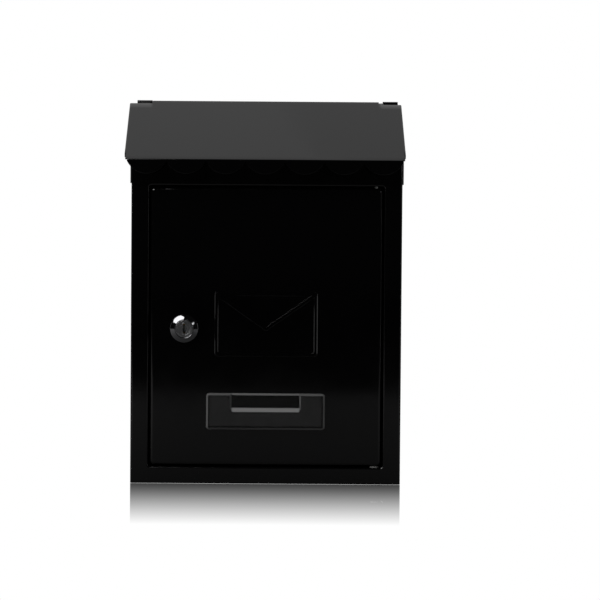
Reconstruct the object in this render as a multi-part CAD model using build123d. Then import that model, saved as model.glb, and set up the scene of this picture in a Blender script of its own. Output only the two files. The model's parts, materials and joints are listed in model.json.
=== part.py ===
from build123d import *
import os
from math import asin, cos, degrees, radians, sin, sqrt, tan

# Wall-mounted steel mailbox. A folded sheet shell holds a back panel, a bottom tray and a hood. A pitched
# lid with a scalloped eave swings up on a rod at the top of the back panel. A pressed door swings on two
# pins at its right-hand edge and is shut by a key-operated cam lock at its left. A clear moulded holder for
# a name card is pegged to the door.
#
# Frame: +X right as seen from the front, +Y back into the wall, +Z up, millimetres. The origin is the middle
# of the four wall holes, on the wall face of the back panel. Heights below are counted from the underside
# of the box.
# At rest the lid and the door are shut and the lock is not engaged: its cam hangs straight down.

# ------------------------------------------------------------------------------------- overall sizes
body_width = 210.0
body_depth = 68.0            # wall face to the front face of the shell
overall_height = 300.0       # underside to the top of the lid's hinge knuckles
sheet = 0.8                  # shell, bottom tray, hood, door and lid
back_sheet = 1.2             # back panel
outer_bend = 2.0             # outside radius of the shell's two vertical bends
weld_gap = 0.05              # between two sheets that are spot-welded together

# ---------------------------------------------------------------------------------------- wall holes
wall_hole_radius = 3.0
wall_hole_spacing_x = 120.0
wall_hole_spacing_z = 150.0
wall_hole_middle_height = 130.0

# ------------------------------------------------------------------------------------ shell and tray
shell_height = 250.0
door_frame_side = 13.8       # width of the strip beside the door, each side
door_frame_bottom = 13.0     # height of the strip under the door
door_frame_return = 13.0     # depth of the folded edge round the door opening
door_frame_edge = 1.3        # outside radius of that fold
door_frame_corner = 2.0      # radius of the opening's corners, small enough for the hinge washer's flat
base_corner = 1.4            # cut at the two lower corners of the front
tray_flange = 8.0
back_flange = 10.0
back_flange_bottom = 10.0
hem_gap = 0.3                # how far the shell, tray and hood stay in front of the wall face

# ---------------------------------------------------------------------------------------------- hood
hood_bottom_height = 233.0
hood_slide_gap = 0.1         # between the hood and the shell inside it
hood_lip = 6.0               # folded edge over the front of the mail opening

# --------------------------------------------------------------------------------- lid and its hinge
lid_slope = 31.5             # degrees below the horizon, towards the front
lid_side_gap = 1.8           # between each side edge of the lid and the hood
lid_overhang = 14.0          # eave in front of the shell
lid_flange = 4.2             # depth of the turned-down side edges
lid_flange_setback = 9.0     # the side edges end this far behind the eave
lid_bend = 1.0               # outside radius of the lid's bends
lid_rest_gap = 0.5           # between the lid and the hood under it
lid_side_shift = -1.55       # the lid rests pushed to the left end of its play on the rod
rod_radius = 1.25
rod_fit = 0.06               # radial clearance of the lid's knuckle on the rod
rod_grip = 0.01              # the end knuckles are rolled tight on the rod and hold it
end_knuckle_length = 12.0    # the back panel's knuckle at each end of the rod
knuckle_side_play = 1.7      # between the lid's knuckle and each end knuckle
knuckle_clear = 1.2          # room cut in the lid's corners in front of the end knuckles
cheek_drop = 4.0             # rear top corner of the hood's cheeks, below the middle of the rod
lid_curl = 290.0             # degrees of the lid's knuckle
back_curl = 270.0            # degrees of the end knuckles
scallop_count = 7
scallop_drop = 9.6
valance_shoulder = 0.9       # plain strip above the scallops
valance_end_gap = 1.5        # between the valance and each side edge of the lid

# -------------------------------------------------------------------------------- door and its hinge
door_height = 216.0
door_gap = 1.2               # all round, between the door and its frame
door_depth = 9.0             # front face to the rear of the door's folded edges
door_corner = 3.3            # radius of the door's corners, seen from the front
door_edge = 2.8              # outside radius of the door's long bends
hinge_inset = 5.0            # hinge axis in from the door's right-hand edge
hinge_setback = 4.0          # hinge axis behind the door's front face
hinge_pin_radius = 1.5
hinge_pin_fit = 0.06
hinge_pin_reach = 4.0        # how far the pin stands into the door
hinge_head_radius = 3.0
hinge_head_height = 1.0
hinge_head_round = 0.6
hinge_washer_radius = 3.6
hinge_washer_play = 0.2

# ---------------------------------------------------------------------------------- pressed envelope
letter_width = 80.0
letter_height = 50.0
letter_middle_height = 124.0
letter_corner = 3.0
letter_bead = 3.0            # width of a bead at its foot
letter_relief = 0.7          # height of a bead
letter_draft = 42.0          # slope of a bead's sides, degrees from square
flap_depth = 27.0            # how far the flap's point comes down

# ---------------------------------------------------------------------------------- name-card holder
holder_width = 92.0
holder_height = 28.0
holder_middle_height = 56.5
holder_corner = 2.2
holder_back = 1.0            # thickness of the layer that lies on the door
card_gap = 0.8
holder_front = 2.2           # thickness of the front layer
holder_wall = 2.6            # width of the rim that joins the two layers
holder_bevel = 1.5           # width of the bevel on the front layer's edges
holder_bevel_depth = 1.2
notch_width = 52.5           # of the cut itself, without its bevels
notch_height = 11.0
notch_ramp = 3.2             # slope under the notch for a thumb, from the notch's foot down the front layer
card_lead_in = 1.5           # height of the slope on the back layer's top edge that lets a card slide in
card_lead_in_depth = 0.7
peg_radius = 1.5
peg_fit = 0.1
peg_spacing = 76.0
peg_reach = 3.0              # behind the door sheet
push_nut_radius = 4.5
push_nut_sheet = 0.5
push_nut_legs = 6
push_nut_leg_reach = 3.0     # from the middle of the nut to the root of its legs
push_nut_slot = 0.5

# ------------------------------------------------------------------------------------------ cam lock
lock_from_middle = 63.5      # to the left of the middle of the box
lock_height = 120.5
bezel_flange = 1.6           # how far the bezel covers the door round the barrel
bezel_rim = 0.9
bezel_height = 3.6
bezel_inner_radius = 7.6
barrel_radius = 9.4
barrel_flats = 16.0          # across the two flats
barrel_end = 12.2            # rear of the barrel behind the door's front face
thread_pitch = 1.0
thread_depth = 0.45
barrel_fit = 0.15
plug_head_radius = 7.0
plug_head_depth = 1.7
plug_head_round = 0.5
plug_head_recess = 0.4       # plug face behind the bezel's top
plug_radius = 6.0
plug_fit = 0.08
plug_dish_radius = 5.0       # shallow round recess in the plug's face
plug_dish_depth = 0.4
keyway_width = 1.9
keyway_height = 7.6
keyway_depth = 11.0
keyway_rim = 0.7             # raised border of the keyway, inside the recess
keyway_rim_height = 0.3
drive_square = 7.0
drive_fit = 0.1
stop_washer_sheet = 1.0
stop_tab_radius = 8.6
stop_tab_width = 4.0
stop_tab_height = 1.2
stop_tab_fit = 0.3           # between the tab and the plug
stop_slack = 6.0             # degrees beyond the lock's quarter turn
lock_turn = 90.0
cam_sheet = 2.0
cam_width = 15.0
cam_reach = 36.0
cam_frame_gap = 0.5          # between the cam and the rear edge of the door frame when locked
nut_wall = 2.6               # least thickness of the nut round the barrel
nut_thickness = 3.0
nut_corner_cut = 0.9         # bevel that takes the rear corners off the nut
tooth_washer_sheet = 0.7
tooth_washer_width = 3.0
tooth_count = 18
tooth_length = 1.8
tooth_gap = 1.2
screw_thread_radius = 2.0
screw_head_radius = 4.2
screw_head_height = 2.4
screw_head_round = 1.3
screw_recess_length = 4.4
screw_recess_width = 0.9
screw_recess_depth = 1.2
screw_washer_radius = 5.4
screw_washer_sheet = 0.8
screw_reach = 8.0
wafer_count = 5
wafer_sheet = 0.8
wafer_pitch = 1.9
wafer_width = 5.0
wafer_slot_fit = 0.06
screw_fit = 0.05
first_wafer = 3.4            # behind the plug's face
wafer_window_side = 0.2      # between the keyway and the window's long sides
wafer_window_end = 0.6       # how much shorter than the keyway the window is at each end
wafer_window_step = 0.4      # the windows sit at three heights this far apart, to match the key's cuts
wafer_notch_depth = 1.4      # notch in a wafer's side for its spring
wafer_notch_height = 2.6
wafer_notch_inset = 3.4      # middle of the notch, below the top of the plug
wafer_spring_radius = 0.5
wafer_spring_wire = 0.12
wafer_spring_turns = 4
wafer_spring_height = 1.9

# ------------------------------------------------------------------------------------ derived places
front_y = -body_depth
eave_y = front_y - lid_overhang
half_body = body_width / 2
half_inside = half_body - sheet
half_back = half_inside - weld_gap
end_knuckle_radius = rod_radius + rod_grip + back_sheet
lid_knuckle_radius = rod_radius + rod_fit + sheet
rod_y = -end_knuckle_radius
rod_height = overall_height - end_knuckle_radius
half_lid_knuckle = half_back - end_knuckle_length - knuckle_side_play
lid_sin = sin(radians(lid_slope))
lid_cos = cos(radians(lid_slope))
lid_tan = tan(radians(lid_slope))
hood_half_inside = half_body + hood_slide_gap
hood_half_outside = hood_half_inside + sheet
hood_front_inside = front_y - hood_slide_gap
hood_front_outside = hood_front_inside - sheet
lid_width = 2 * (hood_half_outside + lid_side_gap + sheet)

opening_half = half_body - door_frame_side
door_half = opening_half - door_gap
door_bottom_height = door_frame_bottom + door_gap
door_top_height = door_bottom_height + door_height
opening_top_height = door_top_height + door_gap
hinge_x = door_half - hinge_inset
hinge_y = front_y + hinge_setback
door_rear_y = front_y + sheet

cam_front = door_frame_return + cam_frame_gap
stop_front = barrel_end + weld_gap
plug_rear = cam_front + cam_sheet + weld_gap
plug_face = bezel_height - plug_head_recess
bezel_radius = barrel_radius + bezel_flange
nut_across_flats = 2 * (barrel_radius + nut_wall)
tooth_washer_radius = barrel_radius + tooth_washer_width


def at_height(height):
    """Z of a height that is counted from the underside of the box."""
    return height - wall_hole_middle_height


rod_z = at_height(rod_height)
lock_z = at_height(lock_height)


def block(x_low, x_high, y_low, y_high, z_low, z_high):
    """A box between two corners."""
    middle = Pos((x_low + x_high) / 2, (y_low + y_high) / 2, (z_low + z_high) / 2)
    return middle * Box(x_high - x_low, y_high - y_low, z_high - z_low)


def facing_front(y, x=0.0, z=0.0):
    """A plane whose own X and Y are the frame's X and Z, and whose normal points to the front."""
    return Plane((x, y, z), x_dir=(1, 0, 0), z_dir=(0, -1, 0))


def pressed_forward(sketch, y_rear, depth, x=0.0, z=0.0):
    """A front-view sketch thickened from y_rear towards the front by depth."""
    return extrude(facing_front(y_rear, x, z) * sketch, amount=depth)


def roof_height(y, below=0.0):
    """Z of the lid's upper surface at y, or of a parallel surface that far below it."""
    along = rod_y - lid_knuckle_radius * lid_sin - y
    top = rod_z + lid_knuckle_radius * lid_cos - along * lid_tan
    return top - below / lid_cos


def folded_plan(half_width, wall_y, rear_y, thickness, bend):
    """Plan of a sheet folded into a U that is open at the rear; wall_y is the face of its front wall."""
    def outline(half, front, back, radius):
        plan = Pos(0, (front + back) / 2) * Rectangle(2 * half, back - front)
        return fillet(plan.vertices().group_by(Axis.Y)[0], radius)

    outside = outline(half_width, wall_y, rear_y, bend)
    inside = outline(half_width - thickness, wall_y + thickness, rear_y + thickness, bend - thickness)
    return outside - inside


def under_lid(gap):
    """Everything that lies at least gap under the lid's lower surface."""
    front, back, floor = eave_y * 2, -eave_y, at_height(0)
    outline = Polygon(
        (front, floor),
        (back, floor),
        (back, roof_height(back, sheet + gap)),
        (front, roof_height(front, sheet + gap)),
        align=None,
    )
    return extrude(Plane.YZ * outline, amount=body_width, both=True)


# -------------------------------------------------------------------------------------- fixed sheets
def make_shell():
    """Sides and front in one folded sheet, with the door opening and its folded edge."""
    walls = extrude(
        Plane.XY.offset(at_height(0)) * folded_plan(half_body, front_y, -hem_gap, sheet, outer_bend),
        amount=shell_height,
    )
    opening_height = opening_top_height - door_frame_bottom
    opening_middle = at_height(door_frame_bottom + opening_height / 2)
    opening = RectangleRounded(2 * opening_half, opening_height, door_frame_corner)
    fold = RectangleRounded(2 * (opening_half + sheet), opening_height + 2 * sheet, door_frame_corner + sheet)
    rear_of_fold = front_y + door_frame_return
    shell = walls + pressed_forward(fold, rear_of_fold, door_frame_return, z=opening_middle)
    shell -= pressed_forward(opening, rear_of_fold + sheet, door_frame_return + 2 * sheet, z=opening_middle)
    rim = shell.edges().filter_by_position(Axis.Y, front_y - weld_gap, front_y + weld_gap)
    rim = rim.filter_by(lambda e: abs(e.center().X) < opening_half + weld_gap)
    low, high = at_height(door_frame_bottom) - weld_gap, at_height(opening_top_height) + weld_gap
    rim = rim.filter_by(lambda e: low < e.center().Z < high)
    shell = fillet(rim, door_frame_edge)
    pin_hole = Cylinder(hinge_pin_radius, 4 * sheet)
    for height in (door_frame_bottom - sheet / 2, opening_top_height + sheet / 2):
        shell -= Pos(hinge_x, hinge_y, at_height(height)) * pin_hole
    base_cut = Polygon((0, 0), (base_corner, 0), (0, base_corner), align=None)
    for side in (-1, 1):
        foot = (side * half_body, front_y + sheet, at_height(0))
        corner = Plane(foot, x_dir=(-side, 0, 0), z_dir=(0, -side, 0))
        shell -= extrude(corner * base_cut, amount=2 * sheet, both=True)
    return shell


def make_bottom_tray():
    """Floor of the box with its four edges turned up inside the shell."""
    rear = -back_sheet - weld_gap
    front = front_y + sheet + weld_gap
    middle_y = (front + rear) / 2
    outside = block(-half_back, half_back, front, rear, at_height(0), at_height(tray_flange))
    outside = fillet(outside.edges().filter_by(Axis.Z), outer_bend)
    outside = fillet(outside.faces().sort_by(Axis.Z)[0].edges(), outer_bend - sheet / 2)
    inside = Pos(0, middle_y, at_height(sheet + tray_flange)) * Box(
        2 * (half_back - sheet), rear - front - 2 * sheet, 2 * tray_flange
    )
    inside = fillet(inside.edges().filter_by(Axis.Z), outer_bend - sheet)
    return outside - inside


def make_back_panel():
    """Back sheet with its side edges turned forwards, the four wall holes and the two end knuckles."""
    bottom = at_height(0)
    plain_top = rod_z - lid_knuckle_radius - sheet
    panel = block(-half_back, half_back, -back_sheet, 0, bottom, plain_top)
    for side in (-1, 1):
        outer, inner = side * half_back, side * (half_back - back_sheet)
        flange = block(
            min(outer, inner), max(outer, inner), -back_flange, 0, at_height(back_flange_bottom), plain_top
        )
        panel += flange & under_lid(lid_rest_gap)
        tab_inner = side * (half_back - end_knuckle_length)
        panel += block(min(outer, tab_inner), max(outer, tab_inner), -back_sheet, 0, plain_top, rod_z)
        curl = Cylinder(end_knuckle_radius, end_knuckle_length, arc_size=back_curl)
        curl -= Cylinder(end_knuckle_radius - back_sheet, end_knuckle_length * 2)
        # the curl starts at the wall face, rises over the rod and ends under it
        place = Plane(((outer + tab_inner) / 2, rod_y, rod_z), x_dir=(0, 1, 0), z_dir=(1, 0, 0))
        panel += place * curl
    hole = Cylinder(wall_hole_radius, 4 * back_sheet, rotation=(90, 0, 0))
    for x in (-wall_hole_spacing_x / 2, wall_hole_spacing_x / 2):
        for z in (-wall_hole_spacing_z / 2, wall_hole_spacing_z / 2):
            panel -= Pos(x, 0, z) * hole
    return panel


def make_hood():
    """Collar round the top of the shell, cut to the slope of the lid, with a folded edge over the front."""
    plan = folded_plan(hood_half_outside, hood_front_outside, -hem_gap, sheet, outer_bend + sheet)
    collar = extrude(Plane.XY.offset(at_height(hood_bottom_height)) * plan, amount=overall_height)
    collar &= under_lid(lid_rest_gap)
    cheek_top = rod_z - cheek_drop
    collar -= block(-body_width, body_width, front_y / 2, 0, cheek_top, at_height(2 * overall_height))
    solid_plan = block(
        -hood_half_outside + outer_bend, hood_half_outside - outer_bend,
        hood_front_outside, hood_front_outside + hood_lip,
        at_height(shell_height - hood_lip), at_height(overall_height),
    )
    lip = (solid_plan & under_lid(lid_rest_gap)) - under_lid(lid_rest_gap + sheet)
    return collar + lip


# ----------------------------------------------------------------------------------------------- lid
def make_rod():
    """Hinge rod of the lid, cut flush with the outer ends of the end knuckles."""
    length = 2 * half_back
    rod = Cylinder(rod_radius, length, rotation=(0, 90, 0))
    rod = chamfer(rod.edges().filter_by(GeomType.CIRCLE), rod_radius / 4)
    return Pos(0, rod_y, rod_z) * rod


def make_valance():
    """Scalloped strip that hangs from the eave, one arc for each scallop."""
    strip_width = lid_width - 2 * (sheet + valance_end_gap)
    pitch = strip_width / scallop_count
    radius = (pitch**2 / 4 + scallop_drop**2) / (2 * scallop_drop)
    eave_top = roof_height(eave_y)
    shoulder_bottom = eave_top - sheet / lid_cos - valance_shoulder
    strip = Pos(0, (eave_top - sheet / 2 + shoulder_bottom) / 2) * Rectangle(
        strip_width, eave_top - sheet / 2 - shoulder_bottom
    )
    for i in range(scallop_count):
        x = -strip_width / 2 + (i + 0.5) * pitch
        disc = Pos(x, shoulder_bottom - scallop_drop + radius) * Circle(radius)
        window = Pos(x, shoulder_bottom - scallop_drop / 2) * Rectangle(pitch, scallop_drop)
        strip += disc & window
    return pressed_forward(strip, eave_y + sheet, sheet)


def eave_corner():
    """Side view of what the round bend at the eave takes off the sharp corner of lid and valance."""
    corner = (eave_y, roof_height(eave_y))
    reach = lid_bend * tan(radians((90 - lid_slope) / 2))
    down = (eave_y, corner[1] - reach)
    up = (eave_y + reach * lid_cos, corner[1] + reach * lid_sin)
    middle = (eave_y + lid_bend, down[1])
    sharp = Polygon((eave_y - 1, corner[1] + 2), (eave_y - 1, down[1]), down, middle, up, align=None)
    return sharp - Pos(*middle) * Circle(lid_bend)


def side_edge_ends():
    """What is cut off the front ends of the lid's side edges: all that hangs below the flat sheet."""
    low = at_height(0)
    back = eave_y + lid_flange_setback
    under = Polygon(
        (2 * eave_y, low), (back, low), (back, roof_height(back, lid_bend)),
        (2 * eave_y, roof_height(2 * eave_y, lid_bend)),
        align=None,
    )
    return extrude(Plane.YZ * under, amount=lid_width, both=True)


def make_lid():
    """Pitched sheet with turned-down sides, a scalloped eave and a long knuckle rolled round the rod."""
    down_slope = Plane((0, rod_y, rod_z), x_dir=(1, 0, 0), z_dir=(0, -lid_cos, -lid_sin))
    slope_length = (rod_y - eave_y) / lid_cos + lid_flange * lid_tan

    def cross_section(half, top, bottom, radius):
        section = Pos(0, (top + bottom) / 2) * Rectangle(2 * half, top - bottom)
        return fillet(section.vertices().group_by(Axis.Y)[-1], radius)

    top = lid_knuckle_radius
    sheet_section = cross_section(lid_width / 2, top, top - lid_flange, lid_bend) - cross_section(
        lid_width / 2 - sheet, top - sheet, top - 2 * lid_flange, lid_bend - sheet
    )
    corner_start = end_knuckle_radius + knuckle_clear
    lid = extrude(down_slope.offset(corner_start) * sheet_section, amount=slope_length)
    middle_strip = Pos(0, top - sheet / 2) * Rectangle(2 * half_lid_knuckle, sheet)
    lid += extrude(down_slope * middle_strip, amount=corner_start + sheet)
    lid -= block(-lid_width, lid_width, 2 * eave_y, eave_y, at_height(0), at_height(overall_height))
    lid -= side_edge_ends()
    lid += make_valance()
    lid -= extrude(Plane.YZ * eave_corner(), amount=lid_width, both=True)
    curl = Cylinder(top, 2 * half_lid_knuckle, arc_size=lid_curl)
    curl -= Cylinder(top - sheet, 4 * half_lid_knuckle)
    # the curl leaves the lid over the rod, goes round behind it and ends in front of it, under the lid
    lid += Plane((0, rod_y, rod_z), x_dir=(0, -lid_sin, lid_cos), z_dir=(-1, 0, 0)) * curl
    return Pos(lid_side_shift, 0, 0) * lid


# ---------------------------------------------------------------------------------------------- door
def letter_beads():
    """Raised lines of a closed envelope: a rounded outline and the two straight edges of its flap."""
    outline = RectangleRounded(letter_width, letter_height, letter_corner)
    outline -= RectangleRounded(
        letter_width - 2 * letter_bead, letter_height - 2 * letter_bead, letter_corner - letter_bead / 2
    )
    face = facing_front(front_y, 0, at_height(letter_middle_height))
    beads = extrude(face * outline, amount=letter_relief, taper=letter_draft)
    half = (letter_width - letter_bead) / 2
    top = (letter_height - letter_bead) / 2
    length = sqrt(half**2 + flap_depth**2)
    for side in (-1, 1):
        slope = -side * degrees(asin(flap_depth / length))
        bar = Pos(-side * half / 2, top - flap_depth / 2) * (
            Rot(0, 0, slope) * SlotCenterToCenter(length, letter_bead)
        )
        beads += extrude(face * bar, amount=letter_relief, taper=letter_draft)
    return beads


def barrel_outline(clearance):
    """Front-view outline of the lock barrel: a circle with two flats."""
    return Circle(barrel_radius + clearance) & Rectangle(4 * barrel_radius, barrel_flats + 2 * clearance)


def make_door():
    """Pressed door: a shallow pan with rounded edges, a raised envelope, a lock hole and peg holes."""
    middle = at_height((door_bottom_height + door_top_height) / 2)

    def pan(half_width, height, front, rear, corner, edge):
        body = pressed_forward(RectangleRounded(2 * half_width, height, corner), rear, rear - front, z=middle)
        return fillet(body.faces().sort_by(Axis.Y)[0].edges(), edge)

    door = pan(door_half, door_height, front_y, front_y + door_depth, door_corner, door_edge)
    door -= pan(
        door_half - sheet, door_height - 2 * sheet, front_y + sheet, front_y + 2 * door_depth,
        door_corner - sheet, door_edge - sheet,
    )
    beads = letter_beads()
    door += beads
    door -= Pos(0, sheet, 0) * beads
    door -= pressed_forward(
        barrel_outline(barrel_fit), front_y + 2 * sheet, 4 * sheet, x=-lock_from_middle, z=lock_z
    )
    peg_hole = Cylinder(peg_radius + peg_fit, 4 * sheet, rotation=(90, 0, 0))
    for x in (-peg_spacing / 2, peg_spacing / 2):
        door -= Pos(x, front_y, at_height(holder_middle_height)) * peg_hole
    pin_hole = Cylinder(hinge_pin_radius + hinge_pin_fit, 4 * sheet)
    for height in (door_bottom_height, door_top_height):
        door -= Pos(hinge_x, hinge_y, at_height(height)) * pin_hole
    return door


def make_hinge_pins():
    """Two headed pins, pressed into the frame above and below the door, that the door turns on."""
    pins = []
    for height, up in ((door_frame_bottom, 1), (opening_top_height, -1)):
        length = sheet + door_gap + sheet + hinge_pin_reach
        pin = Pos(0, 0, length / 2 - sheet) * Cylinder(hinge_pin_radius, length)
        pin = chamfer(pin.edges().sort_by(Axis.Z)[-1], hinge_pin_radius / 4)
        head = Pos(0, 0, -sheet - hinge_head_height / 2) * Cylinder(hinge_head_radius, hinge_head_height)
        head = fillet(head.edges().sort_by(Axis.Z)[0], hinge_head_round)
        upright = Rot(0 if up > 0 else 180, 0, 0) * (pin + head)
        pins.append(Pos(hinge_x, hinge_y, at_height(height)) * upright)
    return Compound(children=pins)


def make_hinge_washer():
    """Plastic washer on the lower pin that carries the door."""
    thickness = door_gap - hinge_washer_play
    washer = Cylinder(hinge_washer_radius, thickness)
    washer -= Cylinder(hinge_pin_radius + hinge_pin_fit, 2 * thickness)
    return Pos(hinge_x, hinge_y, at_height(door_frame_bottom) + thickness / 2) * washer


# ---------------------------------------------------------------------------------- name-card holder
def make_card_holder():
    """Clear holder, open at the top: a back layer, a rim on three sides, a notched front layer, two pegs."""
    def plate(thickness, behind):
        outline = RectangleRounded(holder_width, holder_height, holder_corner)
        return pressed_forward(outline, front_y - behind, thickness, z=at_height(holder_middle_height))

    z = at_height(holder_middle_height)
    top = z + holder_height / 2
    notch_foot = top - notch_height
    card = Pos(0, holder_wall) * Rectangle(holder_width - 2 * holder_wall, holder_height)
    front = plate(holder_front, holder_back + card_gap)
    front_face = front_y - holder_back - card_gap - holder_front
    front -= block(-notch_width / 2, notch_width / 2, 2 * front_y, front_y, notch_foot, top + holder_front)
    front = chamfer(front.faces().sort_by(Axis.Y)[0].edges(), holder_bevel_depth, holder_bevel)
    ramp = Polygon(
        (front_face, notch_foot - notch_ramp), (front_face - holder_front, notch_foot - notch_ramp),
        (front_face - holder_front, notch_foot), (front_face + holder_bevel_depth, notch_foot),
        align=None,
    )
    front -= extrude(Plane.YZ * ramp, amount=notch_width / 2, both=True)
    rim = plate(card_gap, holder_back) - pressed_forward(card, front_y, 4 * card_gap, z=z)
    back = plate(holder_back, 0)
    lead_in = Polygon(
        (front_y - holder_back, top - card_lead_in), (front_y - holder_back, top),
        (front_y - holder_back + card_lead_in_depth, top),
        align=None,
    )
    back -= extrude(Plane.YZ * lead_in, amount=holder_width / 2 - holder_wall, both=True)
    holder = back + rim + front
    length = sheet + peg_reach
    peg = Cylinder(peg_radius, length, rotation=(90, 0, 0))
    for x in (-peg_spacing / 2, peg_spacing / 2):
        holder += Pos(x, front_y + length / 2, z) * peg
    return holder


def make_push_nuts():
    """Two spring-steel push nuts that hold the holder's pegs from inside the door."""
    nuts = []
    for x in (-peg_spacing / 2, peg_spacing / 2):
        disc = Circle(push_nut_radius) - Circle(peg_radius)
        for i in range(push_nut_legs):
            slot = Pos(push_nut_leg_reach / 2, 0) * Rectangle(push_nut_leg_reach, push_nut_slot)
            disc -= Rot(0, 0, i * 360 / push_nut_legs) * slot
        rear = door_rear_y + weld_gap + push_nut_sheet
        nuts.append(pressed_forward(disc, rear, push_nut_sheet, x=x, z=at_height(holder_middle_height)))
    return Compound(children=nuts)


# ------------------------------------------------------------------------------------------ cam lock
lock_place = facing_front(front_y, -lock_from_middle, lock_z)


def turned(points):
    """A solid of revolution round the lock's axis from (radius, distance before the door face) points."""
    return revolve(Plane.XZ * Polygon(*points, align=None), Axis.Z)


def make_lock_housing():
    """Domed bezel and threaded barrel with two flats, bored for the plug."""
    head_seat = plug_face - plug_head_depth
    thread_start = -(sheet + tooth_washer_sheet + nut_thickness)
    profile = [
        (plug_radius + plug_fit, -barrel_end),
        (plug_radius + plug_fit, head_seat - plug_fit),
        (plug_head_radius + plug_fit, head_seat - plug_fit),
        (plug_head_radius + plug_fit, bezel_height - plug_head_recess / 2),
        (bezel_inner_radius, bezel_height),
    ]
    dome_steps = 8
    for i in range(1, dome_steps + 1):
        turn = radians(90 * i / dome_steps)
        profile.append((
            bezel_inner_radius + (bezel_radius - bezel_inner_radius) * sin(turn),
            bezel_rim + (bezel_height - bezel_rim) * cos(turn),
        ))
    profile += [(bezel_radius, 0), (barrel_radius, 0), (barrel_radius, thread_start)]
    ridge_count = int((barrel_end + thread_start) / thread_pitch)
    for i in range(ridge_count):
        z = thread_start - i * thread_pitch
        profile += [(barrel_radius - thread_depth, z - thread_pitch / 2), (barrel_radius, z - thread_pitch)]
    profile.append((barrel_radius - thread_depth, -barrel_end))
    housing = turned(profile)
    barrel_zone = extrude(barrel_outline(0), amount=-2 * barrel_end)
    bezel_zone = Pos(0, 0, bezel_height) * Cylinder(2 * bezel_radius, 2 * bezel_height)
    housing &= barrel_zone + bezel_zone
    # the stop tab moves in a notch that is cut in the end of the barrel
    sweep = lock_turn + 2 * stop_slack + 2 * degrees(asin(stop_tab_width / 2 / plug_radius))
    notch = Cylinder(
        2 * barrel_radius, 2 * stop_tab_height, arc_size=sweep, align=(Align.NONE, Align.NONE, Align.CENTER)
    )
    notch = Rot(0, 0, 180 + (lock_turn - sweep) / 2) * notch
    housing -= Pos(0, 0, -barrel_end) * notch
    return lock_place * housing


def make_plug():
    """Key plug with its head, keyway, wafer slots and the square that drives the cam."""
    head = Pos(0, 0, plug_face - plug_head_depth / 2) * Cylinder(plug_head_radius, plug_head_depth)
    head = fillet(head.edges().sort_by(Axis.Z)[-1], plug_head_round)
    stem_length = plug_face - plug_head_depth + barrel_end
    stem = Pos(0, 0, plug_face - plug_head_depth - stem_length / 2) * Cylinder(plug_radius, stem_length)
    drive_length = plug_rear - barrel_end
    drive = Pos(0, 0, -barrel_end - drive_length / 2) * Box(drive_square, drive_square, drive_length)
    plug = head + stem + drive
    plug -= Pos(0, 0, plug_face) * Cylinder(plug_dish_radius, 2 * plug_dish_depth)
    border = SlotOverall(keyway_height + 2 * keyway_rim, keyway_width + 2 * keyway_rim, rotation=90)
    plug += Pos(0, 0, plug_face - plug_dish_depth) * extrude(border, keyway_rim_height)
    keyway = Pos(0, 0, plug_face - keyway_depth / 2) * Box(keyway_width, keyway_height, keyway_depth)
    plug -= keyway
    for i in range(wafer_count):
        z = plug_face - first_wafer - i * wafer_pitch
        slot = Box(wafer_width + 2 * wafer_slot_fit, 4 * plug_radius, wafer_sheet + 2 * wafer_slot_fit)
        plug -= Pos(0, 0, z) * slot
    tapped = Cylinder(screw_thread_radius + screw_fit, 2 * screw_reach)
    plug -= Pos(0, 0, -plug_rear) * tapped
    return lock_place * plug


def make_wafers():
    """Sprung wafers of the lock, drawn in flush with the plug, each with a window for the key."""
    wafers = []
    for i in range(wafer_count):
        z = plug_face - first_wafer - i * wafer_pitch
        blank = Rectangle(wafer_width, 4 * plug_radius) & Circle(plug_radius)
        blank -= Pos(0, (i % 3 - 1) * wafer_window_step) * Rectangle(
            keyway_width + 2 * wafer_window_side, keyway_height - 2 * wafer_window_end
        )
        blank -= Pos(-wafer_width / 2, plug_radius - wafer_notch_inset) * Rectangle(
            2 * wafer_notch_depth, wafer_notch_height
        )
        wafers.append(lock_place * extrude(Pos(0, 0, z - wafer_sheet / 2) * blank, amount=wafer_sheet))
    return Compound(children=wafers)


def make_wafer_springs():
    """Coil springs that push the wafers out, one in the side notch of each wafer."""
    springs = []
    height = wafer_spring_height
    for i in range(wafer_count):
        z = plug_face - first_wafer - i * wafer_pitch
        pitch = height / wafer_spring_turns
        path = Edge.make_helix(pitch=pitch, height=height, radius=wafer_spring_radius / 2)
        start = path @ 0
        wire = Plane(start, z_dir=path % 0) * Circle(wafer_spring_wire / 2)
        coil = sweep(wire, path=path)
        x = (wafer_notch_depth - wafer_width) / 2
        place = Pos(x, plug_radius - wafer_notch_inset - height / 2, z) * Rot(-90, 0, 0)
        springs.append(lock_place * (place * coil))
    return Compound(children=springs)


def make_stop_washer():
    """Washer on the plug's square whose tab stops the lock after a quarter turn."""
    disc = Circle(plug_radius) - Rectangle(drive_square + 2 * drive_fit, drive_square + 2 * drive_fit)
    arm = Pos(0, -stop_tab_radius / 2) * Rectangle(stop_tab_width, stop_tab_radius)
    arm -= Circle(drive_square / sqrt(2) + drive_fit)
    washer = extrude(Pos(0, 0, -stop_front - stop_washer_sheet) * (disc + arm), amount=stop_washer_sheet)
    tab_depth = stop_tab_radius - plug_radius - stop_tab_fit
    tab_height = stop_tab_height - 3 * weld_gap
    tab = Pos(0, -stop_tab_radius + tab_depth / 2, -stop_front + tab_height / 2) * Box(
        stop_tab_width, tab_depth, tab_height
    )
    return lock_place * (washer + tab)


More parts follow.
